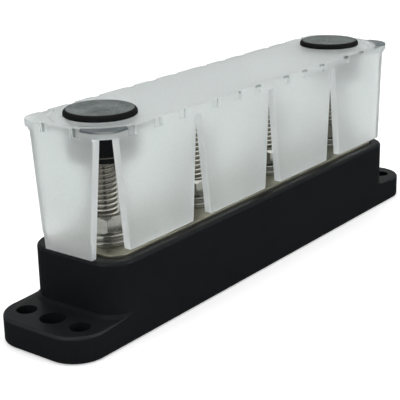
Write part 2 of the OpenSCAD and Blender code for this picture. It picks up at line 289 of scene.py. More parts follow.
def metal_marks():
    """Streaks, stains and fine pits of rolled or plated metal."""
    tree, given, out = new_group(
        "metal_marks", "ShaderNodeTree",
        [("Vector", VECTOR, None), ("Stretch", VECTOR, (60.0, 2200.0, 2200.0)), ("Stain", FLOAT, 160.0)],
        [("Streak", FLOAT), ("Patch", FLOAT), ("Height", FLOAT)])
    streak_share, pit_scale, pit_share, stain_level, stain_gain = 0.7, 3800.0, 0.4, 0.42, 3.2
    pulled = put(tree, "ShaderNodeVectorMath", {0: given["Vector"], 1: given["Stretch"]},
                 operation="MULTIPLY")
    streak = noise(tree, pulled.outputs[0], 1.0, detail=3.0, roughness=0.6)
    patch = noise(tree, given["Vector"], given["Stain"], detail=5.0, roughness=0.6)
    pits = noise(tree, given["Vector"], pit_scale, detail=2.0)
    tree.links.new(streak, out["Streak"])
    tree.links.new(passed(tree, patch, stain_level, stain_gain), out["Patch"])
    tree.links.new(shares(tree, streak, streak_share, pits, pit_share), out["Height"])
    return tree


def corner_painted_light():
    """Masks of a painted bright rim and of a painted dark band beyond it, around the knobs, at the cover's
    front corners, where the knobs' black stems show through.
    """
    tree, given, out = new_group(
        "corner_painted_light", "ShaderNodeTree",
        [("Vector", VECTOR, None), ("Knob", FLOAT, 0.067), ("Score", FLOAT, 0.0152),
         ("Beyond X", FLOAT, 0.074), ("Beyond Y", FLOAT, 0.007), ("Top", FLOAT, 0.066)],
        [("Rim", FLOAT), ("Band", FLOAT)])
    sharpness, skin = 2500.0, 0.0008
    rim_rise, rim_fall = (-0.0004, 0.0), (0.001, 0.0016)
    band_rise, band_fall = (0.0018, 0.0032), (0.0064, 0.0084)
    spot = put(tree, "ShaderNodeSeparateXYZ", {0: given["Vector"]}).outputs
    along, across = calc(tree, "ABSOLUTE", spot["X"]), calc(tree, "MULTIPLY", spot["Y"], -1.0)
    out_x = calc(tree, "SUBTRACT", along, given["Knob"])
    reach = calc(tree, "SQRT", shares(tree, out_x, out_x, across, across))
    past = calc(tree, "SUBTRACT", reach, given["Score"])
    zone = passed(tree, along, given["Beyond X"], sharpness)
    under = calc(tree, "SUBTRACT", given["Top"], skin)
    for value, limit in ((across, given["Beyond Y"]), (spot["Z"], under)):
        zone = calc(tree, "MULTIPLY", zone, passed(tree, value, limit, sharpness))

    def between(*ramps):
        """Mask between a rise and a fall, given as distances past the score."""
        ends = [put(tree, "ShaderNodeMapRange", {"Value": past, "From Min": low, "From Max": high},
                    interpolation_type="SMOOTHSTEP").outputs["Result"] for low, high in ramps]
        return calc(tree, "MULTIPLY", calc(tree, "SUBTRACT", *ends), zone)

    # A painted highlight along the score line, then a painted dark band beyond it.
    tree.links.new(between(rim_rise, rim_fall), out["Rim"])
    tree.links.new(between(band_rise, band_fall), out["Band"])
    return tree


# Finishes

def new_finish(name):
    """An empty material with its shader, and the object's own coordinates."""
    material = bpy.data.materials.new(name)
    material.use_nodes = True
    tree = material.node_tree
    tree.nodes.clear()
    shader = put(tree, "ShaderNodeBsdfPrincipled")
    put(tree, "ShaderNodeOutputMaterial", {"Surface": shader.outputs[0]})
    place = put(tree, "ShaderNodeTexCoord").outputs["Object"]
    return material, tree, shader, place


def use_group(tree, effect, values):
    """Places a shared effect with its own values, and builds it first where it isn't there yet."""
    group = bpy.data.node_groups.get(effect.__name__) or effect()
    return put(tree, "ShaderNodeGroup", values, node_tree=group).outputs


def feed(tree, shader, **sockets):
    """Links or sets the shader's sockets, named with underscores."""
    for key, value in sockets.items():
        connect(tree, shader.inputs[key.replace("_", " ")], value)


def bump(tree, height, strength, distance):
    """Surface relief from a height."""
    node = put(tree, "ShaderNodeBump", {"Height": height, "Strength": strength, "Distance": distance})
    return node.outputs[0]


def moulded_black(name, tint, dust_and_top_light_tint, highlight_tint, grain, roughness, dust, relief, specular):
    """Satin or matte black moulded plastic, with dust and painted top light on faces that look up, and a
    painted highlight where an attribute marks it.
    """
    cloud, depth, sheen, grain_h = 55.0, 0.5, 0.25, 0.00006
    material, tree, shader, place = new_finish(name)
    marks = use_group(tree, moulded_grain, {
        "Vector": place, "Grain": grain, "Cloud": cloud, "Depth": depth})
    # Dust and painted top light, paler on faces that look up.
    dust_and_light = use_group(tree, dust_and_top_light_mask, {"Vector": place, "Amount": dust})
    plastic = blend_colour(tree, 1.0, rgba(tint), marks["Tone"], "MULTIPLY")
    # Painted highlight where the mesh's attribute marks an edge.
    plastic = blend_colour(tree, attribute(tree, "painted_highlight"), plastic, rgba(highlight_tint))
    feed(tree, shader,
         Base_Color=blend_colour(tree, dust_and_light["Mask"], plastic, rgba(dust_and_top_light_tint)),
         Roughness=scaled(tree, marks["Sheen"], sheen, roughness, clamp=True),
         Specular_IOR_Level=specular,
         Normal=bump(tree, marks["Height"], relief, grain_h))
    return material


def frosted_plastic(tints, sizes):
    """Frosted, translucent plastic, with painted highlights on its cut edges and corner rims, painted shade
    on one side of each notch, and painted dark bands at the front corners where the knobs' black stems show
    through.
    """
    grain, cloud, depth, sheen, roughness = 1700.0, 38.0, 0.16, 0.5, 0.37
    relief, grain_h, notch_level, notch_gain = 0.2, 0.00005, 0.58, 5.0
    refraction, clearness = 1.46, 0.8
    material, tree, shader, place = new_finish("frosted_plastic")
    marks = use_group(tree, moulded_grain, {
        "Vector": place, "Grain": grain, "Cloud": cloud, "Depth": depth})
    corner = use_group(tree, corner_painted_light, {
        "Vector": place, "Knob": STUD_X[-1], "Score": sizes.score_r, "Beyond X": sizes.corner_x,
        "Beyond Y": sizes.corner_y, "Top": COVER_HIGH.z})
    # Painted shade on one side of each notch wall.
    notch_shade_mask = passed(tree, attribute(tree, "notch_shade"), notch_level, notch_gain)
    # Painted highlight on the cut edges and on the rim at the front corners.
    bright = calc(tree, "MAXIMUM", attribute(tree, "cut"), corner["Rim"])
    body = blend_colour(tree, 1.0, rgba(tints.frost), marks["Tone"], "MULTIPLY")
    # Painted dark band at the front corners, for the knobs' stems seen through.
    body = blend_colour(tree, corner["Band"], body, rgba(tints.glass))
    body = blend_colour(tree, bright, body, rgba(tints.cut))
    feed(tree, shader,
         Base_Color=blend_colour(tree, notch_shade_mask, body, rgba(tints.notch_shade)),
         Roughness=scaled(tree, marks["Sheen"], sheen, roughness, clamp=True),
         IOR=refraction,
         Transmission_Weight=clearness,
         Normal=bump(tree, marks["Height"], relief, grain_h))
    return material


def bare_metal(name, bright, dark, stretch, stain, roughness, groove=None):
    """Plated or bare metal with streaks and stains, and painted shade where an attribute marks a thread root.
    """
    found = bpy.data.materials.get(name)
    if found:
        return found
    stain_share, streak_share, streak_mean = 0.9, 0.24, 0.12
    metal, relief, mark_h = 0.85, 0.22, 0.00003
    material, tree, shader, place = new_finish(name)
    marks = use_group(tree, metal_marks, {"Vector": place, "Stretch": stretch, "Stain": stain})
    stained = calc(tree, "MULTIPLY", marks["Patch"], marks["Streak"])
    mask = calc(tree, "MULTIPLY", stained, stain_share, clamp=True)
    # Painted shade in the thread roots, where the stud's groove attribute says so.
    if groove:
        mask = calc(tree, "MAXIMUM", mask, attribute(tree, groove))
    feed(tree, shader,
         Base_Color=blend_colour(tree, mask, rgba(bright), rgba(dark)),
         Metallic=metal,
         Roughness=scaled(tree, marks["Streak"], streak_share, roughness - streak_mean, clamp=True),
         Normal=bump(tree, marks["Height"], relief, mark_h))
    return material


def bright_steel(tints):
    """Zinc-plated steel of the nuts and washers."""
    return bare_metal("bright_steel", tints.zinc, tints.stain,
                      stretch=(500.0, 500.0, 1600.0), stain=260.0, roughness=0.2)


# Mesh helpers

def link_piece(name, mesh, material=None):
    """Puts a mesh in the scene as a piece at the origin."""
    piece = bpy.data.objects.new(name, mesh)
    bpy.context.scene.collection.objects.link(piece)
    if material:
        mesh.materials.append(material)
    return piece


def shade_smooth(mesh):
    """Shades every face of a mesh smooth."""
    mesh.polygons.foreach_set("use_smooth", [True] * len(mesh.polygons))


def merged_solid(node, name):
    """A copy of a solid's mesh with its doubles merged and its flat faces joined."""
    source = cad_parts[node].data
    mesh = bpy.data.meshes.new(name)
    mesh.from_pydata([v.co for v in source.vertices], [], [tuple(p.vertices) for p in source.polygons])
    work = bmesh.new()
    work.from_mesh(mesh)
    bmesh.ops.remove_doubles(work, verts=work.verts, dist=MERGE)
    bmesh.ops.dissolve_degenerate(work, edges=work.edges, dist=MERGE)
    bmesh.ops.dissolve_limit(work, angle_limit=math.radians(FLAT_ANGLE), verts=work.verts, edges=work.edges)
    work.to_mesh(mesh)
    work.free()
    shade_smooth(mesh)
    return mesh


def settle(piece, angle=None):
    """Turns a piece's modifiers into a plain mesh, shaded smooth up to an angle if one is given."""
    graph = bpy.context.evaluated_depsgraph_get()
    shell = bpy.data.meshes.new_from_object(piece.evaluated_get(graph), depsgraph=graph)
    piece.modifiers.clear()
    old = piece.data
    piece.data = shell
    shell.name = piece.name
    bpy.data.meshes.remove(old)
    if angle is not None:
        shade_smooth(shell)
        shell.set_sharp_from_angle(angle=math.radians(angle))
    return piece


def round_edges(piece, width, segments, flat_weight=90):
    """Rounds the edges of a piece that carry a weight, and keeps its large faces flat."""
    step = piece.modifiers.new("edges", "BEVEL")
    step.width = width
    step.segments = segments
    step.limit_method = "WEIGHT"
    step.use_clamp_overlap = False
    step.loop_slide = False
    step.miter_outer = "MITER_ARC"
    level = piece.modifiers.new("flats", "WEIGHTED_NORMAL")
    level.keep_sharp = True
    level.weight = flat_weight


def mark(mesh, name, domain, values, kind="FLOAT"):
    """Stores a value for each face, edge, point or corner of a mesh."""
    mesh.attributes.new(name, kind, domain).data.foreach_set("value", values)


def weigh_edges(mesh, weight_of=lambda edge: 1.0):
    """Stores a rounding weight from 0 to 1 on each outer edge, and marks the edges that stay sharp."""
    work = bmesh.new()
    work.from_mesh(mesh)
    weights, hard = [], []
    for edge in work.edges:
        steep = len(edge.link_faces) == 2 and edge.calc_face_angle(0.0) > math.radians(STEEP_ANGLE)
        weights.append(weight_of(edge) if steep and edge.is_convex else 0.0)
        hard.append(steep and weights[-1] == 0.0)
    work.free()
    mark(mesh, "bevel_weight_edge", "EDGE", weights)
    mark(mesh, "sharp_edge", "EDGE", hard, "BOOLEAN")


def finish_piece(piece, body, slot, *nodes):
    """Hangs a piece on its body and hides the solids that it stands for; the slot is not used."""
    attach(piece, body)
    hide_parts(*nodes)


def run_tree(name, tree, values):
    """A piece made by a geometry tree, as a plain mesh."""
    piece = link_piece(name, bpy.data.meshes.new(name))
    step = piece.modifiers.new("make", "NODES")
    step.node_group = tree
    for item in tree.interface.items_tree:
        if item.in_out == "INPUT":
            step[item.identifier] = values[item.name]
    return settle(piece, RING_ANGLE)


# Geometry trees

def stud_tree():
    """A hex-headed stud whose thread winds up from a plain shank to a chamfered end."""
    tree, given, out = new_group(
        "threaded_stud", "GeometryNodeTree",
        [("Radius", FLOAT, 0.00476), ("Pitch", FLOAT, 0.0016), ("Depth", FLOAT, 0.00095),
         ("Head Bottom", FLOAT, 0.0), ("Head Top", FLOAT, 0.006), ("Head Radius", FLOAT, 0.008),
         ("Thread Bottom", FLOAT, 0.02), ("Thread Top", FLOAT, 0.05), ("Along", FLOAT, 0.0),
         ("Sides", WHOLE, 48), ("Rows", WHOLE, 8), ("Material", MATERIAL, None)],
        [("Geometry", GEOMETRY)])
    radius, bottom, top = given["Radius"], given["Thread Bottom"], given["Thread Top"]
    root = calc(tree, "SUBTRACT", radius, given["Depth"])
    crest, flank, head_sides = 0.125, 0.625, 6
    thread_l = calc(tree, "SUBTRACT", top, bottom)
    turns = calc(tree, "ADD", calc(tree, "CEIL", calc(tree, "DIVIDE", thread_l, given["Pitch"])), 1.0)
    grid = put(tree, "GeometryNodeMeshGrid", {
        "Size X": 1.0, "Size Y": 1.0,
        "Vertices X": calc(tree, "ADD", given["Sides"], 1.0),
        "Vertices Y": scaled(tree, turns, given["Rows"], 1.0)})
    sheet = put(tree, "ShaderNodeSeparateXYZ", {0: grid.outputs["UV Map"]})
    around, wound = sheet.outputs["X"], calc(tree, "MULTIPLY", sheet.outputs["Y"], turns)
    rise = calc(tree, "SUBTRACT", calc(tree, "ADD", wound, around), 1.0)
    free_z = scaled(tree, rise, given["Pitch"], bottom)
    z = calc(tree, "MINIMUM", calc(tree, "MAXIMUM", free_z, bottom), top)
    swing = calc(tree, "ABSOLUTE", scaled(tree, calc(tree, "FRACT", wound), 2.0, -1.0))
    groove = calc(tree, "DIVIDE", calc(tree, "SUBTRACT", swing, crest), flank, clamp=True)
    cut_r = calc(tree, "SUBTRACT", radius, calc(tree, "MULTIPLY", groove, given["Depth"]))
    cut_r = calc(tree, "MINIMUM", cut_r, calc(tree, "ADD", root, calc(tree, "SUBTRACT", top, z)))
    below = calc(tree, "LESS_THAN", free_z, calc(tree, "ADD", bottom, MERGE))
    above = calc(tree, "GREATER_THAN", free_z, calc(tree, "SUBTRACT", top, MERGE))
    r = cut_r
    for switch, kept_r in ((below, radius), (above, root)):
        r = put(tree, "GeometryNodeSwitch", {"Switch": switch, "False": r, "True": kept_r},
                input_type="FLOAT").outputs[0]
    turn = calc(tree, "MULTIPLY", around, 2 * math.pi)
    place = put(tree, "ShaderNodeCombineXYZ", {
        0: calc(tree, "MULTIPLY", r, calc(tree, "COSINE", turn)),
        1: calc(tree, "MULTIPLY", r, calc(tree, "SINE", turn)), 2: z})
    # Painted shade in the thread roots, stored as the groove attribute.
    shade = calc(tree, "MULTIPLY", groove, calc(tree, "SUBTRACT", 1.0, calc(tree, "MAXIMUM", below, above)))
    keep = put(tree, "GeometryNodeStoreNamedAttribute", {
        "Geometry": grid.outputs["Mesh"], "Name": "groove", "Value": shade},
        data_type="FLOAT", domain="POINT")
    wrap = put(tree, "GeometryNodeSetPosition", {"Geometry": keep.outputs[0], "Position": place.outputs[0]})

    def raised(mesh, height):
        """A mesh moved up."""
        lift = put(tree, "ShaderNodeCombineXYZ", {2: height}).outputs[0]
        return put(tree, "GeometryNodeTransform", {"Geometry": mesh, "Translation": lift}).outputs[0]

    def mean(first, second):
        """Halfway between two values."""
        return calc(tree, "MULTIPLY", calc(tree, "ADD", first, second), 0.5)

    end, foot = (put(tree, "GeometryNodeMeshCircle", {"Vertices": given["Sides"], "Radius": size},
                     fill_type="NGON") for size in (root, radius))
    foot = put(tree, "GeometryNodeFlipFaces", {"Mesh": raised(foot.outputs[0], given["Head Top"])})
    shank = put(tree, "GeometryNodeMeshCylinder", {
        "Vertices": given["Sides"], "Radius": radius,
        "Depth": calc(tree, "SUBTRACT", bottom, given["Head Top"])}, fill_type="NONE")
    head = put(tree, "GeometryNodeMeshCylinder", {
        "Vertices": head_sides, "Radius": given["Head Radius"],
        "Depth": calc(tree, "SUBTRACT", given["Head Top"], given["Head Bottom"])}, fill_type="NGON")
    screw = tree.nodes.new("GeometryNodeJoinGeometry")
    for part in (raised(end.outputs[0], top), foot.outputs[0],
                 raised(shank.outputs[0], mean(bottom, given["Head Top"])), wrap.outputs[0]):
        tree.links.new(part, screw.inputs[0])
    sewn = put(tree, "GeometryNodeMergeByDistance", {"Geometry": screw.outputs[0], "Distance": MERGE})
    whole = tree.nodes.new("GeometryNodeJoinGeometry")
    tree.links.new(sewn.outputs[0], whole.inputs[0])
    tree.links.new(raised(head.outputs[0], mean(given["Head Top"], given["Head Bottom"])), whole.inputs[0])
    shift = put(tree, "ShaderNodeCombineXYZ", {0: given["Along"]}).outputs[0]
    moved = put(tree, "GeometryNodeTransform", {"Geometry": whole.outputs[0], "Translation": shift})
    real = put(tree, "GeometryNodeRealizeInstances", {"Geometry": moved.outputs[0]})
    done = put(tree, "GeometryNodeSetMaterial", {"Geometry": real.outputs[0], "Material": given["Material"]})
    tree.links.new(done.outputs[0], out["Geometry"])
    return tree


def washer_tree():
    """A row of washers, whole or split, with rounded edges and one washer on each stud."""
    tree, given, out = new_group(
        "washer_row", "GeometryNodeTree",
        [("Outer", FLOAT, 0.01), ("Inner", FLOAT, 0.005), ("Thickness", FLOAT, 0.0015),
         ("Rounding", FLOAT, 0.0002), ("Bottom", FLOAT, 0.0), ("Split", FLOAT, 0.0),
         ("Turn", FLOAT, 0.0), ("Slant", FLOAT, 0.0), ("First", FLOAT, 0.0), ("Pitch", FLOAT, 0.04),
         ("Count", WHOLE, 4), ("Sides", WHOLE, 96), ("Material", MATERIAL, None)],
        [("Geometry", GEOMETRY)])
    fillet_steps = 3
    mid = calc(tree, "MULTIPLY", calc(tree, "ADD", given["Outer"], given["Inner"]), 0.5)
    span = calc(tree, "SUBTRACT", given["Outer"], given["Inner"])
    gap = calc(tree, "DIVIDE", given["Split"], mid)
    arc = put(tree, "GeometryNodeCurveArc", {
        "Resolution": given["Sides"], "Radius": mid,
        "Start Angle": calc(tree, "ADD", given["Turn"], calc(tree, "MULTIPLY", gap, 0.5)),
        "Sweep Angle": calc(tree, "SUBTRACT", 2 * math.pi, gap)}, mode="RADIUS")
    ring = put(tree, "GeometryNodeCurvePrimitiveCircle", {
        "Resolution": given["Sides"], "Radius": mid}, mode="RADIUS")
    is_split = calc(tree, "GREATER_THAN", given["Split"], 0.0)
    path = put(tree, "GeometryNodeSwitch", {
        "Switch": is_split, "False": ring.outputs[0], "True": arc.outputs[0]}, input_type="GEOMETRY")
    path = put(tree, "GeometryNodeSetCurveNormal", {"Curve": path.outputs[0]}, mode="Z_UP")
    section = put(tree, "GeometryNodeCurvePrimitiveQuadrilateral", {
        "Width": span, "Height": given["Thickness"]})
    section = put(tree, "GeometryNodeFilletCurve", {
        "Curve": section.outputs[0], "Radius": given["Rounding"], "Limit Radius": True,
        "Count": fillet_steps}, mode="POLY")
    swept = put(tree, "GeometryNodeCurveToMesh", {
        "Curve": path.outputs[0], "Profile Curve": section.outputs[0], "Fill Caps": True})
    spot = put(tree, "GeometryNodeInputPosition").outputs[0]
    slope = calc(tree, "TANGENT", given["Slant"])
    lean = calc(tree, "DIVIDE", calc(tree, "MULTIPLY", height_of(tree, spot), slope), mid)
    turned = put(tree, "ShaderNodeVectorRotate", {"Vector": spot, "Angle": lean}, rotation_type="Z_AXIS")
    leaned = put(tree, "GeometryNodeSetPosition", {
        "Geometry": swept.outputs[0], "Position": turned.outputs[0]})
    start = put(tree, "ShaderNodeCombineXYZ", {
        0: given["First"],
        2: calc(tree, "ADD", given["Bottom"], calc(tree, "MULTIPLY", given["Thickness"], 0.5))})
    stride = put(tree, "ShaderNodeCombineXYZ", {0: given["Pitch"]})
    row = put(tree, "GeometryNodeMeshLine", {
        "Count": given["Count"], "Start Location": start.outputs[0], "Offset": stride.outputs[0]},
        mode="OFFSET")
    copies = put(tree, "GeometryNodeInstanceOnPoints", {
        "Points": row.outputs[0], "Instance": leaned.outputs[0]})
    real = put(tree, "GeometryNodeRealizeInstances", {"Geometry": copies.outputs[0]})
    done = put(tree, "GeometryNodeSetMaterial", {"Geometry": real.outputs[0], "Material": given["Material"]})
    tree.links.new(done.outputs[0], out["Geometry"])
    return tree


# Operators, one for each piece or group of like pieces

class BUSBAR_OT_base(bpy.types.Operator):
    """Rounds the edges of the black base and gives it its satin plastic"""

    bl_idname = "busbar.base"
    bl_label = "Base"

    def execute(self, context):
        sizes, tints = chosen(context)
        mesh = merged_solid("base", "base_moulding")
        half_w, straight = BASE_HIGH.y, BASE_HIGH.x - BASE_HIGH.y
        widest = max(sizes.rim_round, sizes.ear_round, sizes.foot_round)
        level_face, level_band, outer_band = 0.9, 0.001, 0.0045
        lean_least, lean_most, ear_highlight, rim_highlight = 0.2, 0.95, 0.035, 0.012

        def outside(point):
            """Whether a point is at the base's outer edge, not at a hole."""
            reach = Vector((max(abs(point.x) - straight, 0.0), point.y)).length
            return reach > half_w - outer_band

        def weight_of(edge):
            """Share of the widest rounding that a level edge gets."""
            first, last = (v.co for v in edge.verts)
            walls = [f for f in edge.link_faces if abs(f.normal.z) <= level_face]
            if len(walls) != 1 or abs(first.z - last.z) > MERGE:
                return 0.0
            point = (first + last) / 2
            axis = Vector((max(-straight, min(straight, point.x)), 0.0))
            outward = walls[0].normal.xy.dot(point.xy - axis) > 0
            if point.z > BASE_HIGH.z - level_band:
                return (sizes.rim_round if outward else sizes.recess_round) / widest
            if outward and outside(point):
                return (sizes.foot_round if point.z < level_band else sizes.ear_round) / widest
            return 0.0

        weigh_edges(mesh, weight_of)
        # The painted highlight on the base's edges takes the dust colour.
        piece = link_piece("base_moulding", mesh, moulded_black(
            "satin_black", tints.black, tints.dust, tints.dust,
            grain=2300.0, roughness=0.34, dust=0.008, relief=0.35, specular=0.11))
        round_edges(piece, widest, segments=3)
        shell = settle(piece).data
        # Painted highlight on the rounded upper edges of the ears and of the rim.
        painted_highlight = [0.0] * len(shell.polygons)
        for face in shell.polygons:
            for top, shine in ((sizes.ear_h, ear_highlight), (BASE_HIGH.z, rim_highlight)):
                if lean_least < face.normal.z < lean_most and -widest < face.center.z - top < 0.0:
                    painted_highlight[face.index] = shine
        mark(shell, "painted_highlight", "FACE", painted_highlight)
        finish_piece(piece, "bar", "base_plastic", "base")
        return {"FINISHED"}


class BUSBAR_OT_plate(bpy.types.Operator):
    """Eases the edges of the plated bar and gives it its tin finish"""

    bl_idname = "busbar.plate"
    bl_label = "Plated bar"

    def execute(self, context):
        sizes, tints = chosen(context)
        mesh = merged_solid("bus_plate", "plated_bar")
        weigh_edges(mesh)
        piece = link_piece("plated_bar", mesh, bare_metal(
            "tin_plate", tints.tin, tints.stain, stretch=(70.0, 1500.0, 1500.0), stain=120.0, roughness=0.34))
        round_edges(piece, sizes.plate_round, segments=3)
        finish_piece(settle(piece), "bar", "plated_bar", "bus_plate")
        return {"FINISHED"}


class BUSBAR_OT_studs(bpy.types.Operator):
    """Winds a real thread around each stud"""

    bl_idname = "busbar.studs"
    bl_label = "Threaded studs"

    def execute(self, context):
        sizes, tints = chosen(context)
        tree = stud_tree()
        steel = bare_metal("threaded_steel", tints.steel, tints.groove, stretch=(900.0, 900.0, 260.0),
                           stain=300.0, roughness=0.22, groove="groove")
        for i, x in zip(STUDS, STUD_X):
            low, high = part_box(f"stud_{i}")
            head_top = low.z + sizes.head_h
            piece = run_tree(f"threaded_stud_{i}", tree, {
                "Radius": sizes.thread_d / 2, "Pitch": sizes.thread_pitch, "Depth": sizes.thread_depth,
                "Head Bottom": low.z, "Head Top": head_top, "Head Radius": sizes.head_af / math.sqrt(3),
                "Thread Bottom": head_top + sizes.plain_shank, "Thread Top": high.z, "Along": x,
                "Sides": sizes.thread_sides, "Rows": sizes.thread_rows, "Material": steel})
            finish_piece(piece, "bar", "steel", f"stud_{i}")
        return {"FINISHED"}


class BUSBAR_OT_washers(bpy.types.Operator):
    """Lays a flat washer and a split spring washer on each stud"""

    bl_idname = "busbar.washers"
    bl_label = "Washers"

    def execute(self, context):
        sizes, tints = chosen(context)
        tree = washer_tree()
        split_slant, split_turn = math.radians(25.0), math.radians(160.0)
        for kind, split, slant, turn in (("flat_washer", 0.0, 0.0, 0.0),
                                         ("spring_washer", sizes.split_w, split_slant, split_turn)):
            low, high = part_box(f"{kind}_1")
            piece = run_tree(f"{kind}_row", tree, {
                "Outer": (high.y - low.y) / 2, "Inner": sizes.bore_d / 2, "Thickness": high.z - low.z,
                "Rounding": sizes.washer_round, "Bottom": low.z, "Split": split, "Turn": turn,
                "Slant": slant, "First": STUD_X[0], "Pitch": STUD_X[1] - STUD_X[0],
                "Count": len(STUDS), "Sides": sizes.ring_sides, "Material": bright_steel(tints)})
            finish_piece(piece, "bar", "steel", *(f"{kind}_{i}" for i in STUDS))
        return {"FINISHED"}


class BUSBAR_OT_nuts(bpy.types.Operator):
    """Eases the upright edges of the hex nuts"""

    bl_idname = "busbar.nuts"
    bl_label = "Hex nuts"

    def execute(self, context):
        sizes, tints = chosen(context)
        least_rise = 0.002

        def upright(edge):
            """Rounds an edge only if it runs up a corner of the nut."""
            return 1.0 if abs(edge.verts[0].co.z - edge.verts[1].co.z) > least_rise else 0.0

        for i in STUDS:
            mesh = merged_solid(f"hex_nut_{i}", f"steel_nut_{i}")
            weigh_edges(mesh, upright)
            piece = link_piece(f"steel_nut_{i}", mesh, bright_steel(tints))
            round_edges(piece, sizes.nut_round, segments=2)
            finish_piece(settle(piece), f"nut_{i}", "steel", f"hex_nut_{i}")
        return {"FINISHED"}


class BUSBAR_OT_cover(bpy.types.Operator):
    """Rounds the cover's edges and gives it its frosted plastic"""

    bl_idname = "busbar.cover"
    bl_label = "Frosted cover"

    def execute(self, context):
        sizes, tints = chosen(context)
        mesh = merged_solid("cover", "frosted_cover")
        knobs = [Vector((STUD_X[0], 0.0)), Vector((STUD_X[-1], 0.0))]
        flange_z = COVER_HIGH.z - sizes.flange_h
        score_depth, score_in, score_out = 0.0006, 0.0003, 0.0013
        lip_under, lip_over, shortest = 0.0006, 0.0012, 0.0008

        def weight_of(edge):
            """Rounds every edge but those of the score lines, of the flange's lip, and the shortest."""
            point = (edge.verts[0].co + edge.verts[1].co) / 2
            reach = min((point.xy - knob).length for knob in knobs)
            scored = (point.z > COVER_HIGH.z - score_depth
                      and sizes.score_r - score_in < reach < sizes.score_r + score_out)
            heights = [v.co.z for v in edge.verts]
            lip = min(heights) > flange_z - lip_under and max(heights) < flange_z + lip_over
            return 0.0 if scored or lip or edge.calc_length() < shortest else 1.0

        weigh_edges(mesh, weight_of)
        piece = link_piece("frosted_cover", mesh, frosted_plastic(tints, sizes))
        round_edges(piece, sizes.cover_round, segments=2)
        self.shade(settle(piece).data, sizes.flange_h)
        finish_piece(piece, "cover", "cover_plastic", "cover")
        return {"FINISHED"}

    def shade(self, shell, flange_h):
        """Marks the panels' edge faces that get a painted highlight, and the side of each notch wall in the
        flange that gets painted shade.
        """
        flange_z = COVER_HIGH.z - flange_h
        edge_area, notch_least, notch_most = 0.00012, 0.000001, 0.000012
        inset, upright, side_lit_x = 0.0003, 0.3, -0.02
        cut, notch_shade = [], [0.0] * len(shell.loops)
        for face in shell.polygons:
            low = face.center.z < flange_z
            # Painted highlight on the small edge faces below the flange.
            cut.append(1.0 if face.area < edge_area and low else 0.0)
            inside = (abs(face.center.x) < COVER_HIGH.x - inset
                      and abs(face.center.y) < COVER_HIGH.y - inset)
            heights = [shell.vertices[k].co.z for k in face.vertices]
            tall = max(heights) - min(heights) > flange_h / 2
            wall = inside and tall and not low and abs(face.normal.z) < upright
            if wall and notch_least < face.area < notch_most:
                left = Vector((face.normal.y, -face.normal.x, 0.0))
                # Painted shade on the left half of each notch wall on the near part, and on its upper half
                # elsewhere.
                way = left if face.center.x < side_lit_x else Vector((0.0, 0.0, 1.0))
                for corner in face.loop_indices:
                    spot = shell.vertices[shell.loops[corner].vertex_index].co
                    notch_shade[corner] = 1.0 if way.dot(spot - face.center) > 0.0 else 0.0
        mark(shell, "cut", "FACE", cut)
        mark(shell, "notch_shade", "CORNER", notch_shade)


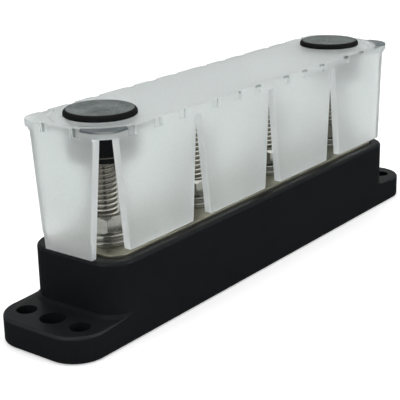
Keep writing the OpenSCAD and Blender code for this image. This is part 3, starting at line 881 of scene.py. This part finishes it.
class BUSBAR_OT_knobs(bpy.types.Operator):
    """Turns the two black knobs from their profile"""

    bl_idname = "busbar.knobs"
    bl_label = "Cover knobs"

    def execute(self, context):
        sizes, tints = chosen(context)
        # Heavy dust and painted top light on the knobs' tops, and painted highlights on their edges.
        matte = moulded_black("matte_black", tints.knob, tints.dust, tints.painted_highlight,
                              grain=1500.0, roughness=0.6, dust=0.85, relief=0.8, specular=0.06)
        for i, x in ((1, STUD_X[0]), (2, STUD_X[-1])):
            low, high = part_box(f"cover_knob_{i}")
            mesh = self.turned(f"screw_knob_{i}", self.profile(sizes, low, high), x, high.z, sizes.ring_sides)
            piece = settle(link_piece(f"screw_knob_{i}", mesh, matte), KNOB_ANGLE)
            finish_piece(piece, f"knob_{i}", "knob_plastic", f"cover_knob_{i}")
        return {"FINISHED"}

    def profile(self, sizes, low, high):
        """Radius, height and painted highlight of the knob's outline, from the bore's end round to the top's
        middle.
        """
        head_r, stem_r, bore_r = (high.x - low.x) / 2, sizes.knob_stem_d / 2, sizes.knob_bore_d / 2
        under, edge, crown = COVER_HIGH.z, sizes.knob_edge, sizes.knob_crown
        tip_h, foot_in, tip_in, ease = 0.002, 0.0009, 0.00015, 0.0002
        # Painted highlight lines: one at the ridge near the stem's foot, one on the upper edge.
        lead_in, line_w, line_highlight = 0.0006, 0.0003, 0.8
        edge_steps, highlight_step, edge_highlight, crown_steps = 6, 5, 0.15, (0.85, 0.6, 0.3)
        tip = low.z + tip_h
        points = [(bore_r, low.z + sizes.knob_bore_l, 0.0), (bore_r, low.z + lead_in, 0.0),
                  (bore_r + lead_in, low.z, 0.0), (stem_r - foot_in - ease, low.z, 0.0),
                  (stem_r - foot_in, low.z + ease, 0.0), (stem_r - tip_in, tip - line_w, 0.0),
                  (stem_r, tip, line_highlight), (stem_r, tip + line_w, 0.0), (stem_r, under, 0.0),
                  (head_r - ease, under, 0.0), (head_r, under + ease, 0.0)]
        shoulder, flat_r = high.z - crown - edge, head_r - edge
        for k in range(edge_steps + 1):
            turn = k / edge_steps * math.pi / 2
            points.append((flat_r + edge * math.cos(turn), shoulder + edge * math.sin(turn),
                           edge_highlight if k == highlight_step else 0.0))
        points += [(flat_r * s, high.z - crown * s * s, 0.0) for s in crown_steps]
        return points

    def turned(self, name, points, x, top, count):
        """A mesh turned from a profile around an upright axis, closed at both ends, with its painted
        highlight.
        """
        work = bmesh.new()
        turns = [2 * math.pi * k / count for k in range(count)]
        rings = [[work.verts.new((x + r * math.cos(turn), r * math.sin(turn), z)) for turn in turns]
                 for r, z, _ in points]
        for lower, upper in zip(rings, rings[1:]):
            for k in range(count):
                after = (k + 1) % count
                work.faces.new((lower[k], lower[after], upper[after], upper[k]))
        for ring, z, order in ((rings[0], points[0][1], -1), (rings[-1], top, 1)):
            pole = work.verts.new((x, 0.0, z))
            for k in range(count):
                pair = (ring[k], ring[(k + 1) % count])
                work.faces.new((*pair[::order], pole))
        bmesh.ops.recalc_face_normals(work, faces=work.faces)
        mesh = bpy.data.meshes.new(name)
        work.to_mesh(mesh)
        work.free()
        # Painted highlight stored on each ring of points.
        mark(mesh, "painted_highlight", "POINT", [painted_highlight for _, _, painted_highlight in points for _ in turns] + [0.0, 0.0])
        return mesh


class BUSBAR_OT_stage(bpy.types.Operator):
    """Sets the pale floor, the soft lamps and the camera"""

    bl_idname = "busbar.stage"
    bl_label = "Studio"

    def execute(self, context):
        scene = context.scene
        self.floor(scene.busbar_colours)
        self.world(scene)
        self.lamp("soft_top", place=(0.05, 0.1, 0.9), aim=(0.0, 0.0, 0.03), size=0.9, power=5.0)
        self.lamp("soft_left", place=(-0.85, -0.05, 0.42), aim=(0.0, 0.0, 0.04), size=0.5, power=2.2)
        self.lamp("soft_right", place=(0.35, -0.85, 0.38), aim=(0.0, 0.0, 0.04), size=0.6, power=3.5)
        self.camera(scene)
        scene.view_settings.view_transform = "Standard"
        return {"FINISHED"}

    def floor(self, tints):
        """Pale floor that keeps the object's shadow, is white to the camera and dim in reflections."""
        reach, drop, roughness, cloud_scale, cloud_share = 4.0, 0.0003, 0.9, 9.0, 0.02
        near, far, near_glow, far_glow, dim_glow = 0.35, 1.6, 0.36, 0.62, 0.06
        mesh = bpy.data.meshes.new("studio_floor")
        corners = [(-reach, -reach), (reach, -reach), (reach, reach), (-reach, reach)]
        mesh.from_pydata([(x, y, -drop) for x, y in corners], [], [(0, 1, 2, 3)])
        material, tree, shader, place = new_finish("studio_white")
        tone = scaled(tree, noise(tree, place, cloud_scale, detail=2.0), cloud_share, 1.0 - cloud_share)
        feed(tree, shader,
             Base_Color=blend_colour(tree, 1.0, rgba(tints.floor), tone, "MULTIPLY"),
             Roughness=roughness)
        path, seen = light_path(tree)
        away = put(tree, "ShaderNodeVectorMath", {0: place}, operation="LENGTH").outputs["Value"]
        level = put(tree, "ShaderNodeMapRange", {
            "Value": away, "From Min": near, "From Max": far,
            "To Min": near_glow, "To Max": far_glow}).outputs["Result"]
        glow = put(tree, "ShaderNodeEmission", {
            "Color": WHITE, "Strength": calc(tree, "MULTIPLY", seen, level)})
        both = put(tree, "ShaderNodeAddShader", {0: shader.outputs[0], 1: glow.outputs[0]})
        dim = put(tree, "ShaderNodeEmission", {"Color": WHITE, "Strength": dim_glow})
        bounce = calc(tree, "SUBTRACT", path["Is Glossy Ray"], path["Is Transmission Ray"], clamp=True)
        mirrored = put(tree, "ShaderNodeMixShader", {0: bounce, 1: both.outputs[0], 2: dim.outputs[0]})
        out = next(n for n in tree.nodes if n.type == "OUTPUT_MATERIAL")
        tree.links.new(mirrored.outputs[0], out.inputs["Surface"])
        link_piece("studio_floor", mesh, material)

    def world(self, scene):
        """White surroundings, dimmer as a light than as a backdrop, with a paler wall in reflections."""
        wall_way, wall_from, wall_to = (0.76, 0.57, 0.32), 0.35, 0.85
        dim, pale, ambient = 0.06, 0.34, 0.5
        world = bpy.data.worlds.new("studio_air")
        scene.world = world
        world.use_nodes = True
        tree = world.node_tree
        tree.nodes.clear()
        path, seen = light_path(tree)
        way = put(tree, "ShaderNodeTexCoord").outputs["Generated"]
        behind = put(tree, "ShaderNodeVectorMath", {0: way, 1: wall_way}, operation="DOT_PRODUCT")
        wall = put(tree, "ShaderNodeMapRange", {
            "Value": behind.outputs["Value"], "From Min": wall_from, "From Max": wall_to,
            "To Min": dim, "To Max": pale}, interpolation_type="SMOOTHSTEP")
        mirrored = calc(tree, "MULTIPLY", path["Is Glossy Ray"], wall.outputs["Result"])
        lit = calc(tree, "MULTIPLY", calc(tree, "SUBTRACT", 1.0, path["Is Glossy Ray"]), ambient)
        strength = calc(tree, "MAXIMUM", calc(tree, "ADD", mirrored, lit), seen)
        sky = put(tree, "ShaderNodeBackground", {"Color": WHITE, "Strength": strength})
        put(tree, "ShaderNodeOutputWorld", {"Surface": sky.outputs[0]})

    def lamp(self, name, place, aim, size, power):
        """A square soft box that looks at a point."""
        light = bpy.data.lights.new(name, "AREA")
        light.shape, light.size, light.energy = "SQUARE", size, power
        lamp = bpy.data.objects.new(name, light)
        bpy.context.scene.collection.objects.link(lamp)
        lamp.location = place
        lamp.rotation_euler = (Vector(aim) - Vector(place)).to_track_quat("-Z", "Y").to_euler()

    def camera(self, scene):
        """Camera at the photograph's place and angle."""
        place, sensor, focal = (-0.3010, -0.21684, 0.14411), 36.0, 97.794
        azimuth, elevation, roll = (math.radians(v) for v in (-52.496, 18.426, -1.194))
        nearest, farthest = 0.02, 20.0
        lens = bpy.data.cameras.new("studio_camera")
        lens.sensor_width, lens.lens = sensor, focal
        lens.clip_start, lens.clip_end = nearest, farthest
        camera = bpy.data.objects.new("studio_camera", lens)
        scene.collection.objects.link(camera)
        right = Vector((math.cos(azimuth), math.sin(azimuth), 0.0))
        back = Vector((math.sin(azimuth) * math.cos(elevation), -math.cos(azimuth) * math.cos(elevation),
                       math.sin(elevation)))
        up = right.cross(-back)
        side = right * math.cos(roll) + up * math.sin(roll)
        head = up * math.cos(roll) - right * math.sin(roll)
        turn = Matrix((side, head, back)).transposed().to_4x4()
        camera.matrix_world = Matrix.Translation(place) @ turn
        scene.camera = camera


STEPS = (BUSBAR_OT_base, BUSBAR_OT_plate, BUSBAR_OT_studs, BUSBAR_OT_washers, BUSBAR_OT_nuts,
         BUSBAR_OT_cover, BUSBAR_OT_knobs, BUSBAR_OT_stage)


class BUSBAR_PT_panel(bpy.types.Panel):
    """Sizes, colours and steps of the bus bar"""

    bl_label = "Bus bar"
    bl_idname = "BUSBAR_PT_panel"
    bl_space_type = "VIEW_3D"
    bl_region_type = "UI"
    bl_category = "Bus bar"

    def draw(self, context):
        column = self.layout.column()
        for step in STEPS:
            column.operator(step.bl_idname)
        for group in (context.scene.busbar_sizes, context.scene.busbar_colours):
            for name in group.__annotations__:
                column.prop(group, name)


CLASSES = (BusBarSizes, BusBarColours, *STEPS, BUSBAR_PT_panel)


def register():
    """Registers the classes and hangs the settings on the scene."""
    for kind in CLASSES:
        bpy.utils.register_class(kind)
    bpy.types.Scene.busbar_sizes = PointerProperty(type=BusBarSizes)
    bpy.types.Scene.busbar_colours = PointerProperty(type=BusBarColours)


def unregister():
    """Takes the settings and classes away again."""
    del bpy.types.Scene.busbar_sizes
    del bpy.types.Scene.busbar_colours
    for kind in reversed(CLASSES):
        bpy.utils.unregister_class(kind)


def main():
    """Makes every piece and the studio."""
    register()
    bpy.ops.busbar.base()
    bpy.ops.busbar.plate()
    bpy.ops.busbar.studs()
    bpy.ops.busbar.washers()
    bpy.ops.busbar.nuts()
    bpy.ops.busbar.cover()
    bpy.ops.busbar.knobs()
    bpy.ops.busbar.stage()


if __name__ == "__main__":
    main()
